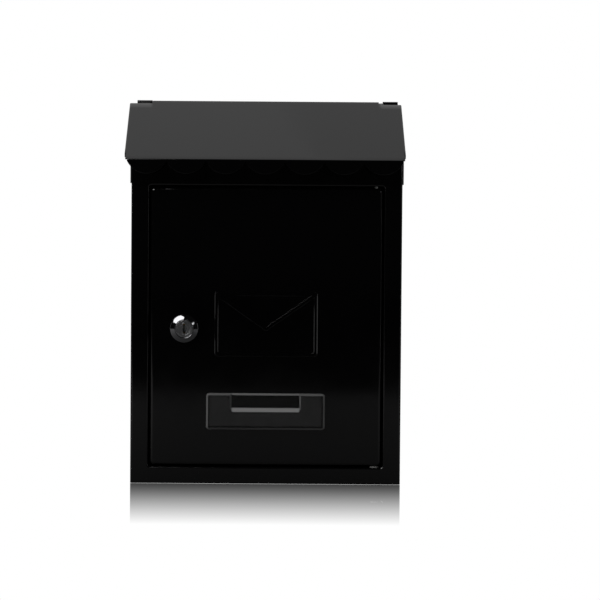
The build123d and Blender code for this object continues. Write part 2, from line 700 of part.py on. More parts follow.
def make_cam():
    """Flat cam with a square hole. It points down at rest; a quarter turn puts it behind the door frame."""
    arm_length = cam_reach - cam_width / 2
    blade = Circle(cam_width / 2) + Pos(0, -arm_length / 2) * Rectangle(cam_width, arm_length)
    lower_half = Pos(0, -cam_width / 4) * Rectangle(cam_width, cam_width / 2)
    tip = Pos(0, -arm_length) * (Circle(cam_width / 2) & lower_half)
    blade = blade + tip - Rectangle(drive_square + 2 * drive_fit, drive_square + 2 * drive_fit)
    cam = extrude(Pos(0, 0, -cam_front - cam_sheet) * blade, amount=cam_sheet)
    return lock_place * cam


def make_cam_screw():
    """Pan-head screw with a cross recess that holds the cam on the plug."""
    under_head = -(plug_rear + screw_washer_sheet)
    shank = Pos(0, 0, under_head + screw_reach / 2) * Cylinder(screw_thread_radius, screw_reach)
    head = Pos(0, 0, under_head - screw_head_height / 2) * Cylinder(screw_head_radius, screw_head_height)
    head = fillet(head.edges().sort_by(Axis.Z)[0], screw_head_round)
    screw = head + shank
    for turn in (0, 90):
        arm = Box(screw_recess_length, screw_recess_width, 2 * screw_recess_depth)
        screw -= Pos(0, 0, under_head - screw_head_height) * (Rot(0, 0, turn) * arm)
    return lock_place * screw


def make_cam_washer():
    """Flat washer under the cam screw."""
    washer = Circle(screw_washer_radius) - Circle(screw_thread_radius + plug_fit)
    rear = -plug_rear - screw_washer_sheet
    return lock_place * extrude(Pos(0, 0, rear) * washer, amount=screw_washer_sheet)


def make_lock_nut():
    """Hexagon nut that clamps the barrel to the door."""
    rear = sheet + tooth_washer_sheet + nut_thickness + 2 * weld_gap
    hexagon = RegularPolygon(nut_across_flats / 2, 6, major_radius=False) - Circle(barrel_radius + plug_fit)
    nut = extrude(hexagon, amount=nut_thickness)
    corner_radius = nut_across_flats / sqrt(3)
    cap = Cylinder(corner_radius, 2 * nut_thickness)
    cap = chamfer(cap.edges().filter_by(GeomType.CIRCLE), nut_corner_cut)
    nut &= Pos(0, 0, nut_thickness) * cap
    return lock_place * (Pos(0, 0, -rear) * nut)


def make_tooth_washer():
    """Internal-tooth washer between the nut and the door."""
    washer = Circle(tooth_washer_radius) - Circle(barrel_radius + barrel_fit)
    for i in range(tooth_count):
        gap = Pos(barrel_radius + tooth_length / 2, 0) * Rectangle(tooth_length, tooth_gap)
        washer -= Rot(0, 0, i * 360 / tooth_count) * gap
    rear = sheet + tooth_washer_sheet + weld_gap
    return lock_place * extrude(Pos(0, 0, -rear) * washer, amount=tooth_washer_sheet)


# --------------------------------------------------------------------------------------------- files
parts = {
    "body_shell": make_shell,
    "bottom_tray": make_bottom_tray,
    "back_panel": make_back_panel,
    "hood": make_hood,
    "lid_hinge_rod": make_rod,
    "lid": make_lid,
    "door_panel": make_door,
    "door_hinge_pins": make_hinge_pins,
    "door_hinge_washer": make_hinge_washer,
    "name_card_holder": make_card_holder,
    "holder_push_nuts": make_push_nuts,
    "lock_housing": make_lock_housing,
    "lock_plug": make_plug,
    "lock_wafers": make_wafers,
    "lock_wafer_springs": make_wafer_springs,
    "lock_stop_washer": make_stop_washer,
    "lock_cam": make_cam,
    "lock_cam_washer": make_cam_washer,
    "lock_cam_screw": make_cam_screw,
    "lock_nut": make_lock_nut,
    "lock_tooth_washer": make_tooth_washer,
}

os.makedirs("parts", exist_ok=True)
for name, make in parts.items():
    export_step(make(), f"parts/{name}.step")
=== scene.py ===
# %% [markdown]
# # A wall-mounted steel mailbox
# The box is a folded sheet-metal letterbox in gloss black paint: a shell, a hood, a pitched lid with a
# scalloped eave, a pressed door with a chrome cam lock, and a clear holder for a name card. The
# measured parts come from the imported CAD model, so the first step loads that model and keeps its box.
# Everything here is in metres, +X to the right, +Y into the wall and +Z up.

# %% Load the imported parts
import json
from math import atan2, cos, degrees, pi, radians, sin, tan

import bmesh
import bpy
from mathutils import Matrix, Vector


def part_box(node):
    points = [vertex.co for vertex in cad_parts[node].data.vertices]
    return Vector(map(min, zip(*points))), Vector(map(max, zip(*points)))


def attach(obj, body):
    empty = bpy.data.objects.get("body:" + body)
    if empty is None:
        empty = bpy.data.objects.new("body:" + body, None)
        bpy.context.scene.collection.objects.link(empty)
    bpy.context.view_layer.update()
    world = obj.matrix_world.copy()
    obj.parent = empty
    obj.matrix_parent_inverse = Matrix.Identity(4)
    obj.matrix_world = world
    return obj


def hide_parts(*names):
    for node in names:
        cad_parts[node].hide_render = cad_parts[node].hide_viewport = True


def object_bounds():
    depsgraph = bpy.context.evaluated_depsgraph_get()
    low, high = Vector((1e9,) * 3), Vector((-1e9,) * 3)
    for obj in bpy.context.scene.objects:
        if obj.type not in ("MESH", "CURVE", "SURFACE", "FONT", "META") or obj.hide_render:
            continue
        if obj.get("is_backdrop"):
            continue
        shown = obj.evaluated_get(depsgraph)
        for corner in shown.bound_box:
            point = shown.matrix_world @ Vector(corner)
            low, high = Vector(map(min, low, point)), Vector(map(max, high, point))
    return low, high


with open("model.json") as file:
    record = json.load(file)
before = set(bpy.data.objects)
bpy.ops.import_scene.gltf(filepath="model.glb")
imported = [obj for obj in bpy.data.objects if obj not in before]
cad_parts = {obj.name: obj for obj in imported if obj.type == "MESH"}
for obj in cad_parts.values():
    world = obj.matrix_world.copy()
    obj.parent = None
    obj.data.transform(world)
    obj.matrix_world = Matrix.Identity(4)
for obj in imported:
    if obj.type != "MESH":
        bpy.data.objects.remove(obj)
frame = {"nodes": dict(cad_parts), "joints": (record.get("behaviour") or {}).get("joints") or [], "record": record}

cad_low, cad_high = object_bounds()
nodes = frame["nodes"]
joints = {joint["name"]: joint for joint in frame["joints"]}

# %% [markdown]
# ## Where things are
# A millimetre is the natural unit for sheet metal, so `mm` turns the sizes that are typed in this script
# into metres. Places are read from the parts themselves, so that a changed model carries them along.

# %% Places read from the parts
mm = 0.001
shell_low, shell_high = (Vector(corner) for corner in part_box("body_shell"))
lid_low, lid_high = (Vector(corner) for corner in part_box("lid"))
lid_axis = Vector(joints["lid_hinge"]["pos_m"])
lock_axis = Vector(joints["lock_turn"]["pos_m"])
front_y = shell_low.y
floor_z = shell_low.z
print("front face at", round(front_y, 4), "underside at", round(floor_z, 4))

# %% [markdown]
# ## Formulas made of nodes
# Shapes and finishes in this script are worked out by node trees. A formula is hard to read as a heap
# of Math nodes, so `Formula` lets the script write `a * b + c` and makes the nodes from that.

# %% Write node formulas as arithmetic
class Formula:
    """A number inside a node tree. Arithmetic on it adds Math nodes to the tree."""

    def __init__(self, tree, socket):
        self.tree, self.socket = tree, socket

    def math(self, operation, *others, clamp=False):
        node = self.tree.nodes.new("ShaderNodeMath")
        node.operation, node.use_clamp = operation, clamp
        for socket, value in zip(node.inputs, (self, *others)):
            feed(self.tree, socket, value)
        return Formula(self.tree, node.outputs[0])

    def __add__(self, other): return self.math("ADD", other)
    def __radd__(self, other): return self.math("ADD", other)
    def __sub__(self, other): return self.math("SUBTRACT", other)
    def __rsub__(self, other): return constant(self.tree, other).math("SUBTRACT", self)
    def __mul__(self, other): return self.math("MULTIPLY", other)
    def __truediv__(self, other): return self.math("DIVIDE", other)
    def __neg__(self): return self.math("MULTIPLY", -1.0)
    def __gt__(self, other): return self.math("GREATER_THAN", other)
    def __lt__(self, other): return self.math("LESS_THAN", other)
    def sin(self): return self.math("SINE")
    def cos(self): return self.math("COSINE")
    def abs(self): return self.math("ABSOLUTE")
    def sqrt(self): return self.math("SQRT")
    def floor(self): return self.math("FLOOR")
    def wrap(self): return self.math("FRACT")
    def at_least(self, other): return self.math("MAXIMUM", other)
    def at_most(self, other): return self.math("MINIMUM", other)
    def unit(self): return self.math("ADD", 0.0, clamp=True)


def feed(tree, socket, value):
    """Puts a number into a socket, or links a formula or another socket to it."""
    if isinstance(value, Formula):
        tree.links.new(value.socket, socket)
    elif isinstance(value, bpy.types.NodeSocket):
        tree.links.new(value, socket)
    else:
        socket.default_value = value


def constant(tree, number):
    node = tree.nodes.new("ShaderNodeValue")
    node.outputs[0].default_value = number
    return Formula(tree, node.outputs[0])


def add_node(tree, kind, settings=None, **inputs):
    """A node with its settings and its inputs filled; underscores in an input's name stand for spaces."""
    node = tree.nodes.new(kind)
    for key, value in (settings or {}).items():
        setattr(node, key, value)
    for key, value in inputs.items():
        feed(tree, node.inputs[key.replace("_", " ")], value)
    return node


def point(tree, x, y, z):
    return add_node(tree, "ShaderNodeCombineXYZ", X=x, Y=y, Z=z).outputs[0]


# %% [markdown]
# ## Camera
# The box is seen almost straight on, from a little above its middle and from far away, so a long lens
# keeps its sides nearly parallel. The box stands left of the middle of the picture. A small lens shift
# moves it there without turning it, so its front stays square to the lens.

# %% Camera
camera_distance = 1.8
camera_height = 213 * mm
aim_height = 150 * mm
camera_tilt = 0.22
camera_roll = 0.41
lens_length = 139.4
lens_shift = 0.0563
camera = bpy.data.objects.new("camera", bpy.data.cameras.new("camera"))
bpy.context.scene.collection.objects.link(camera)
camera.data.lens = lens_length
camera.data.sensor_width = 36.0
camera.data.shift_x = lens_shift
camera.location = (0, front_y - camera_distance, floor_z + camera_height)
down = atan2(camera_height - aim_height, camera_distance) + radians(camera_tilt)
camera.rotation_euler = (
    Matrix.Rotation(pi / 2 - down, 3, "X") @ Matrix.Rotation(radians(camera_roll), 3, "Z")
).to_euler()
bpy.context.scene.camera = camera
print("camera looks down by", round(degrees(down), 2), "degrees")

# %% [markdown]
# ## Studio
# Gloss black shows almost nothing of its own colour: what the eye sees is what it mirrors. The upright
# door mirrors the dark room behind the camera, and low down a little of the floor. The lid mirrors the
# ceiling behind the box, so it is the one grey surface. Soft panels do that work: a ceiling panel for
# the lid, with a second one that makes its left end lighter, a large panel at the upper left and a
# small one at the upper right for the chrome, a narrow card at the right, and a dim strip at each side
# for the edges of the sheets.

# %% Room
ceiling_glow = 0.3
room_glow = 0.012
glow_start, glow_width = -0.3, 0.9
scene = bpy.context.scene
scene.view_settings.view_transform = "Standard"
scene.view_settings.look = "None"
world = bpy.data.worlds.new("studio")
scene.world = world
world.use_nodes = True
room = world.node_tree
room.nodes.clear()
seen = room.nodes.new("ShaderNodeLightPath")
backdrop = add_node(room, "ShaderNodeBackground", Color=(1, 1, 1, 1), Strength=1.0)
toward = room.nodes.new("ShaderNodeTexCoord").outputs["Generated"]
direction = add_node(room, "ShaderNodeSeparateXYZ", Vector=toward)
behind = ((Formula(room, direction.outputs["Y"]) - glow_start) / glow_width).unit()
glow = behind * behind * ceiling_glow + room_glow
dark_room = add_node(room, "ShaderNodeBackground", Color=(1, 1, 1, 1), Strength=glow)
either = room.nodes.new("ShaderNodeMixShader")
lens = Formula(room, seen.outputs["Is Camera Ray"]) + Formula(room, seen.outputs["Is Singular Ray"])
feed(room, either.inputs[0], lens.unit())
room.links.new(dark_room.outputs[0], either.inputs[1])
room.links.new(backdrop.outputs[0], either.inputs[2])
room.links.new(either.outputs[0], room.nodes.new("ShaderNodeOutputWorld").inputs["Surface"])
print("room nodes:", len(room.nodes))

# %% [markdown]
# The floor is a white table-top that is polished where the box stands. Seen by the camera it is plain
# white, except for the box's reflection, which fades with distance from the box. To every other ray it
# is matt grey with painted light and shade: grey near the box, painted lighter towards its two sides, and
# painted nearly black less than a metre in front of the box, so only the lower part of the door mirrors the grey.
#
# The mirror in the floor is perfectly sharp, unlike any surface of the box, and the room is white to
# what it mirrors. So where it doesn't mirror the box, the floor stays white from every side.

# %% Floor
floor_half = 4.0
reflection_reach = 0.235
reflection_edge = 6 * mm
reflection_strength = 1.07
reflection_fade = 1.5
# painted light and shade for the floor that the box mirrors: grey near the box, nearly black further off
painted_light_reach = 0.84
painted_light_edge = 0.12
painted_light_grey = 0.145
painted_shade_grey = 0.012
# painted light: how much lighter the floor is painted towards its two sides
painted_side_light, side_start, side_width = 1.2, 0.1, 0.3
floor_gap = 0.1 * mm
floor_mesh = bpy.data.meshes.new("studio_floor")
floor_mesh.from_pydata(
    [(x * floor_half, y * floor_half, floor_z - floor_gap) for x, y in ((-1, -1), (1, -1), (1, 1), (-1, 1))],
    [], [(0, 1, 2, 3)],
)
studio_floor = bpy.data.objects.new("studio_floor", floor_mesh)
scene.collection.objects.link(studio_floor)
studio_floor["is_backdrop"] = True
floor_finish = bpy.data.materials.new("pale_floor")
floor_finish.use_nodes = True
top = floor_finish.node_tree
top.nodes.clear()
spot = add_node(top, "ShaderNodeSeparateXYZ", Vector=top.nodes.new("ShaderNodeTexCoord").outputs["Object"])
in_front = front_y - Formula(top, spot.outputs["Y"])
off_middle = Formula(top, spot.outputs["X"]).abs()
ahead = in_front / reflection_reach
beside = (off_middle - shell_high.x) / reflection_edge
before_the_box = (ahead * 1e3 + 1.0).unit()
near = (1.0 - ahead.unit().math("POWER", reflection_fade)) * before_the_box
grazing = Formula(top, add_node(top, "ShaderNodeLayerWeight", Blend=0.5).outputs["Facing"])
amount = (near * (1.0 - beside.unit()) * grazing * reflection_strength).unit()
white = add_node(top, "ShaderNodeEmission", Color=(1, 1, 1, 1), Strength=1.0)
mirror = add_node(top, "ShaderNodeBsdfGlossy", Color=(1, 1, 1, 1), Roughness=0.0)
# painted light and shade: for reflected rays the floor's grey fades to nearly black less than a metre in front of
# the box
in_painted_light = (1.0 - (in_front - painted_light_reach) / painted_light_edge).unit()
lit = in_painted_light * painted_light_grey + painted_shade_grey
# painted light: the floor is made lighter towards its two sides, as if lamps lit them
lit = lit * (1.0 + ((off_middle - side_start) / side_width).unit() * painted_side_light)
matt = add_node(top, "ShaderNodeBsdfDiffuse", Color=point(top, lit, lit, lit))
path = top.nodes.new("ShaderNodeLightPath")
shown = top.nodes.new("ShaderNodeMixShader")
for socket, value in zip(shown.inputs, (amount.socket, white.outputs[0], mirror.outputs[0])):
    top.links.new(value, socket)
surface = top.nodes.new("ShaderNodeMixShader")
for socket, value in zip(surface.inputs, (path.outputs["Is Camera Ray"], matt.outputs[0], shown.outputs[0])):
    top.links.new(value, socket)
top.links.new(surface.outputs[0], top.nodes.new("ShaderNodeOutputMaterial").inputs["Surface"])
floor_mesh.materials.append(floor_finish)
print("floor at", round(floor_z, 4), "reflection fades over", reflection_reach, "m")


# %% Soft light panels
def soft_panel(name, place, aim, width, height, radiance):
    """A rectangular light at place, facing aim; radiance is how bright its face looks, where 1 is white."""
    light = bpy.data.lights.new(name, "AREA")
    light.shape = "RECTANGLE"
    light.size, light.size_y, light.energy = width, height, radiance * pi * width * height
    panel = bpy.data.objects.new(name, light)
    scene.collection.objects.link(panel)
    panel.location = place
    panel.rotation_euler = (Vector(aim) - Vector(place)).to_track_quat("-Z", "Y").to_euler()
    return panel


soft_panel("ceiling_panel", (0, 1.0, 2.0), (0, 0, 0.1), 3.0, 2.0, 0.29)
soft_panel("ceiling_left_panel", (-0.9, 1.05, 1.9), (0, 0, 0.1), 1.6, 2.0, 0.06)
soft_panel("upper_left_panel", (-0.92, -1.2, 1.24), (-0.06, front_y, 0), 1.35, 1.2, 5.6)
soft_panel("upper_right_panel", (1.3, -1.4, 0.75), (-0.06, front_y, 0), 0.35, 0.3, 2.6)
soft_panel("right_card", (1.1, -1.15, 0.37), (0, front_y, 0.1), 0.12, 0.5, 1.6)
soft_panel("right_strip", (1.3, -0.25, 0.1), (0, 0, 0), 0.15, 0.8, 1.2)
soft_panel("left_strip", (-1.4, -0.2, 0.1), (0, 0, 0), 0.15, 0.8, 0.6)

# %% [markdown]
# ## Finishes
# Every finish is built from the same few moves: a Principled shader, fine noise in the piece's own
# coordinates that changes roughness a little, and a bump so small that it only shows in reflections.
# Noise scales are in waves per metre, so a scale of 400 gives marks about 2.5 mm across, the size of
# the ripple called orange peel on sprayed paint.

# %% A finish maker
def finish(name, colour, roughness, spread, ripple, ripple_height, stretch=(1, 1, 1), **sockets):
    """A node material: roughness varies by spread; ripples of a scale and height bend reflections."""
    material = bpy.data.materials.new(name)
    material.use_nodes = True
    tree = material.node_tree
    shader = tree.nodes["Principled BSDF"]
    shader.inputs["Base Color"].default_value = (*colour, 1)
    for socket, value in sockets.items():
        shader.inputs[socket.replace("_", " ")].default_value = value
    where = tree.nodes.new("ShaderNodeTexCoord")
    mapping = tree.nodes.new("ShaderNodeMapping")
    mapping.inputs["Scale"].default_value = stretch
    tree.links.new(where.outputs["Object"], mapping.inputs["Vector"])

    def noise(scale, detail):
        texture = tree.nodes.new("ShaderNodeTexNoise")
        texture.inputs["Scale"].default_value = scale
        texture.inputs["Detail"].default_value = detail
        tree.links.new(mapping.outputs["Vector"], texture.inputs["Vector"])
        return texture.outputs["Fac"]

    noise_low, noise_high, patch_size = 0.3, 0.7, 12
    levels = tree.nodes.new("ShaderNodeMapRange")
    levels.inputs["From Min"].default_value = noise_low
    levels.inputs["From Max"].default_value = noise_high
    levels.inputs["To Min"].default_value = max(0.01, roughness - spread)
    levels.inputs["To Max"].default_value = roughness + spread
    tree.links.new(noise(ripple / patch_size, 4), levels.inputs["Value"])
    tree.links.new(levels.outputs["Result"], shader.inputs["Roughness"])
    bump = tree.nodes.new("ShaderNodeBump")
    bump.inputs["Strength"].default_value = 1.0
    bump.inputs["Distance"].default_value = ripple_height
    tree.links.new(noise(ripple, 2), bump.inputs["Height"])
    tree.links.new(bump.outputs["Normal"], shader.inputs["Normal"])
    return material


# %% [markdown]
# ### Gloss black paint
# Sprayed enamel on steel is smooth but never a perfect mirror. Its ripple is only a few micrometres
# high. Fine dust settles in the film, so a sparse speckle is added that makes tiny spots rougher.

# %% Paint
def add_dust(material, scale, amount, speck=0.12):
    """Sparse specks that raise the roughness of the paint; speck is their share of the space between."""
    tree = material.node_tree
    shader = tree.nodes["Principled BSDF"]
    smooth = shader.inputs["Roughness"].links[0].from_socket
    where = tree.nodes.new("ShaderNodeTexCoord")
    specks = tree.nodes.new("ShaderNodeTexVoronoi")
    specks.inputs["Scale"].default_value = scale
    tree.links.new(where.outputs["Object"], specks.inputs["Vector"])
    spot = tree.nodes.new("ShaderNodeMapRange")
    spot.inputs["From Min"].default_value = 0.0
    spot.inputs["From Max"].default_value = speck
    spot.inputs["To Min"].default_value = amount
    spot.inputs["To Max"].default_value = 0.0
    tree.links.new(specks.outputs["Distance"], spot.inputs["Value"])
    total = tree.nodes.new("ShaderNodeMath")
    tree.links.new(smooth, total.inputs[0])
    tree.links.new(spot.outputs["Result"], total.inputs[1])
    tree.links.new(total.outputs[0], shader.inputs["Roughness"])


black_paint = finish("gloss_black_paint", (0.0008, 0.0008, 0.0009), 0.08, 0.03, 420, 0.003 * mm, IOR=1.5)
add_dust(black_paint, 260, 0.18)
print("paint nodes:", len(black_paint.node_tree.nodes))

# %% [markdown]
# ### Metals and plastics
# The lock's bezel is nearly a mirror. Its chrome is tinted dark, so that only the panels shine in it;
# the plug in its middle is duller. Zinc plating is satin, and drawn parts such as the hinge rod have
# lines along their length, which the stretched noise gives. The holder is clear moulded plastic, so
# light goes through it and only its bevelled edges shine.

# %% Metals and plastics
bezel_chrome = finish("dark_chrome", (0.17, 0.17, 0.175), 0.04, 0.02, 300, 0.001 * mm, Metallic=1.0)
plug_chrome = finish("satin_chrome", (0.4, 0.4, 0.41), 0.27, 0.04, 700, 0.002 * mm, Metallic=1.0)
zinc = finish("zinc_plate", (0.63, 0.64, 0.62), 0.3, 0.08, 900, 0.004 * mm, Metallic=1.0)
drawn_zinc = finish(
    "drawn_zinc", (0.63, 0.64, 0.62), 0.28, 0.07, 1500, 0.004 * mm, stretch=(0.05, 1, 1), Metallic=1.0
)
spring_steel = finish("spring_steel", (0.3, 0.31, 0.33), 0.25, 0.05, 1200, 0.003 * mm, Metallic=1.0)
wafer_brass = finish("stamped_brass", (0.42, 0.31, 0.15), 0.35, 0.06, 1100, 0.005 * mm, Metallic=1.0)
nylon = finish("grey_nylon", (0.14, 0.14, 0.135), 0.45, 0.05, 800, 0.01 * mm)
clear_plastic = finish(
    "clear_plastic", (0.9, 0.92, 0.93), 0.05, 0.02, 120, 0.001 * mm, Transmission_Weight=1.0, IOR=1.49
)


def frost_edges(material, milk, brightness):
    """Makes each face that doesn't look straight forward or back milky, like a moulded part's edges."""
    tree = material.node_tree
    shader = tree.nodes["Principled BSDF"]
    turned, straight_on, clear = 0.9, 0.98, 0.9
    to_object = {"vector_type": "NORMAL", "convert_from": "WORLD", "convert_to": "OBJECT"}
    facing = add_node(
        tree, "ShaderNodeVectorTransform", to_object,
        Vector=tree.nodes.new("ShaderNodeNewGeometry").outputs["True Normal"],
    )
    split = add_node(tree, "ShaderNodeSeparateXYZ", Vector=facing.outputs[0])
    straight = Formula(tree, split.outputs["Y"]).abs()
    edge = (1.0 - (straight - turned) / (straight_on - turned)).unit()
    feed(tree, shader.inputs["Transmission Weight"], 1.0 - edge * milk)
    grey = clear - edge * (clear - brightness)
    feed(tree, shader.inputs["Base Color"], point(tree, grey, grey, grey))


frost_edges(clear_plastic, 0.85, 0.11)
finish_of_slot = {
    "black_paint": black_paint,
    "chrome": bezel_chrome,
    "plug_chrome": plug_chrome,
    "zinc_steel": zinc,
    "spring_steel": spring_steel,
    "brass": wafer_brass,
    "grey_nylon": nylon,
    "clear_plastic": clear_plastic,
}

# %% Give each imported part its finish
for part in frame["record"]["subparts"]:
    mesh = nodes[part["node"]].data
    mesh.materials.clear()
    mesh.materials.append(finish_of_slot[part["material_slot"]])
nodes["lid_hinge_rod"].data.materials[0] = drawn_zinc
print("finishes given to", len(nodes), "parts")

# %% [markdown]
# ## Shapes that follow a rule
# A sheet-metal shop first cuts a flat blank and then bends it. Geometry Nodes can do the same: a grid
# is the blank, its unwanted corners are deleted, and one formula moves every point to where the bends
# put it.

# %% [markdown]
# Each tree has named inputs for its sizes, as a drawing has dimensions. The tree ends by realizing its
# instances and setting the material. `make_piece` fills in the inputs by their identifiers, evaluates
# the tree once, keeps the result as a plain mesh and throws the modifier away.

# %% Start a tree, and turn a tree into a piece
def new_tree(name, whole=(), **sizes):
    """A tree with a Material input, a float input per size and an integer input per name in whole."""
    tree = bpy.data.node_groups.new(name, "GeometryNodeTree")
    tree.interface.new_socket("Geometry", in_out="OUTPUT", socket_type="NodeSocketGeometry")
    tree.interface.new_socket("Material", in_out="INPUT", socket_type="NodeSocketMaterial")
    for label, value in sizes.items():
        kind = "NodeSocketInt" if label in whole else "NodeSocketFloat"
        socket = tree.interface.new_socket(label.replace("_", " "), in_out="INPUT", socket_type=kind)
        socket.default_value = value
    given = tree.nodes.new("NodeGroupInput")
    size = {label: Formula(tree, given.outputs[label.replace("_", " ")]) for label in sizes}
    return tree, size, given.outputs["Material"]


def finish_tree(tree, geometry, material):
    """Realize Instances and Set Material, the last two steps of every tree here."""
    real = add_node(tree, "GeometryNodeRealizeInstances", Geometry=geometry)
    painted = add_node(tree, "GeometryNodeSetMaterial", Geometry=real.outputs[0], Material=material)
    out = tree.nodes.new("NodeGroupOutput")
    tree.links.new(painted.outputs[0], out.inputs["Geometry"])


def make_piece(
    name, tree, material, body, slot, stands_for=(), thickness=0.0, edge=0.0, smooth=35, **sizes
):
    """Runs the tree on an empty mesh, thickens and rounds it if asked, and keeps the plain result."""
    seed = bpy.data.objects.new(name + "_seed", bpy.data.meshes.new(name + "_seed"))
    scene.collection.objects.link(seed)
    nodes_step = seed.modifiers.new("shape", "NODES")
    nodes_step.node_group = tree
    for item in tree.interface.items_tree:
        label = item.name.replace(" ", "_")
        if item.in_out == "INPUT" and label in sizes:
            nodes_step[item.identifier] = sizes[label]
        elif item.in_out == "INPUT" and item.name == "Material":
            nodes_step[item.identifier] = material
    if thickness:
        solid = seed.modifiers.new("thickness", "SOLIDIFY")
        solid.thickness, solid.offset, solid.use_even_offset = thickness, -1, True
    if edge:
        rounding = seed.modifiers.new("edge", "BEVEL")
        rounding.width, rounding.segments, rounding.limit_method = edge, 2, "ANGLE"
        rounding.angle_limit = radians(50)
    result = bpy.data.meshes.new_from_object(seed.evaluated_get(bpy.context.evaluated_depsgraph_get()))
    bpy.data.objects.remove(seed)
    return keep(name, result, body, stands_for, smooth)


def shade(mesh, smooth):
    """Smooth shading, with every edge that turns by more than smooth degrees kept sharp."""
    for face in mesh.polygons:
        face.use_smooth = True
    mesh.set_sharp_from_angle(angle=radians(smooth))
    return mesh


def keep(name, mesh, body, stands_for=(), smooth=35):
    """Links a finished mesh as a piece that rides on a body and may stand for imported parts."""
    if smooth:
        shade(mesh, smooth)
    piece = bpy.data.objects.new(name, mesh)
    scene.collection.objects.link(piece)
    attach(piece, body)
    if stands_for:
        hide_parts(*stands_for)
    corners = len(mesh.vertices)
    low = [round(1000 * min(v.co[i] for v in mesh.vertices), 1) for i in range(3)]
    high = [round(1000 * max(v.co[i] for v in mesh.vertices), 1) for i in range(3)]
    print(name, corners, "points, from", low, "to", high, "mm")
    return piece


# %% [markdown]
# ### Sheet edges
# A cut sheet edge is never razor sharp: the paint rounds it, and that small round is what catches a
# line of light. `softened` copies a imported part, merges the copy, joins its flat triangles into plain
# faces and rounds its edges.

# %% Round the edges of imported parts
same_place = 0.002 * mm
same_plane = radians(0.5)


def softened(name, node, body, width, material, angle=40, segments=2, smooth=35):
    """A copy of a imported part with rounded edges, which stands for that part."""
    copy = nodes[node].data.copy()
    work = bmesh.new()
    work.from_mesh(copy)
    bmesh.ops.remove_doubles(work, verts=work.verts, dist=same_place)
    bmesh.ops.dissolve_limit(work, angle_limit=same_plane, verts=work.verts, edges=work.edges)
    work.to_mesh(copy)
    work.free()
    copy.materials.clear()
    copy.materials.append(material)
    seed = bpy.data.objects.new(name + "_seed", copy)
    scene.collection.objects.link(seed)
    rounding = seed.modifiers.new("edge", "BEVEL")
    rounding.width, rounding.segments, rounding.limit_method = width, segments, "ANGLE"
    rounding.angle_limit = radians(angle)
    rounded = bpy.data.meshes.new_from_object(seed.evaluated_get(bpy.context.evaluated_depsgraph_get()))
    seed.modifiers.remove(rounding)
    seed.data = shade(rounded, smooth)
    flatness = seed.modifiers.new("flatness", "WEIGHTED_NORMAL")
    flatness.keep_sharp, flatness.weight = True, 100
    result = bpy.data.meshes.new_from_object(seed.evaluated_get(bpy.context.evaluated_depsgraph_get()))
    bpy.data.objects.remove(seed)
    return keep(name, result, body, (node,), None)


softened("painted_hood", "hood", "housing", 0.35 * mm, black_paint)
softened("painted_shell", "body_shell", "housing", 0.15 * mm, black_paint)
softened("painted_back", "back_panel", "housing", 0.2 * mm, black_paint)
softened("painted_tray", "bottom_tray", "housing", 0.15 * mm, black_paint)
softened("painted_door", "door_panel", "door", 0.15 * mm, black_paint)
softened("plated_cam", "lock_cam", "lock_core", 0.2 * mm, zinc)
softened("plated_nut", "lock_nut", "door", 0.2 * mm, zinc)
softened("chromed_plug", "lock_plug", "lock_core", 0.26 * mm, plug_chrome)

# %% [markdown]
# ### The lid
# The lid is one sheet. Its rear edge is rolled round the hinge rod, its sides are turned down, and its
# front edge is bent down over a small radius and cut into seven scallops. The blank's columns are
# counted from the middle outwards, so that one always falls on each cusp, on each end of the roll and
# at each bend. Its rows run from the end of the roll, round the rod, down the slope, over the eave and
# down to the scallops' edge.

# %% The lid's sizes
lid_slope = radians(31.5)
sheet = 0.8 * mm
rod_radius = 1.25 * mm
rod_fit = 0.06 * mm
roll_radius = rod_radius + rod_fit + sheet
roll_turn = radians(290)
lid_half = (lid_high.x - lid_low.x) / 2
lid_middle = (lid_high.x + lid_low.x) / 2
bend_radius = 1.0 * mm
side_edge = 4.2 * mm
side_edge_setback = 9.0 * mm
valance_end_gap = 1.5 * mm
valance_half = lid_half - sheet - valance_end_gap
roll_half = 90.44 * mm
knuckle_radius = 2.46 * mm
knuckle_gap = 1.2 * mm
corner_start = knuckle_radius + knuckle_gap
scallop_count = 7
scallop_drop = 9.6 * mm
shoulder = 0.9 * mm
eave_turn = pi / 2 - lid_slope
slope_length = (lid_axis.y - roll_radius * sin(lid_slope) - lid_low.y) / cos(lid_slope) - bend_radius * tan(
    eave_turn / 2
)
scallop_pitch = 2 * valance_half / scallop_count
print("slope length", round(slope_length / mm, 2), "mm, scallop pitch", round(scallop_pitch / mm, 2), "mm")


# %% The lid's tree
def ramp(value, start, end, rise):
    """0 before start, growing evenly to rise at end, and rise after it."""
    return ((value - start) / (end - start)).unit() * rise


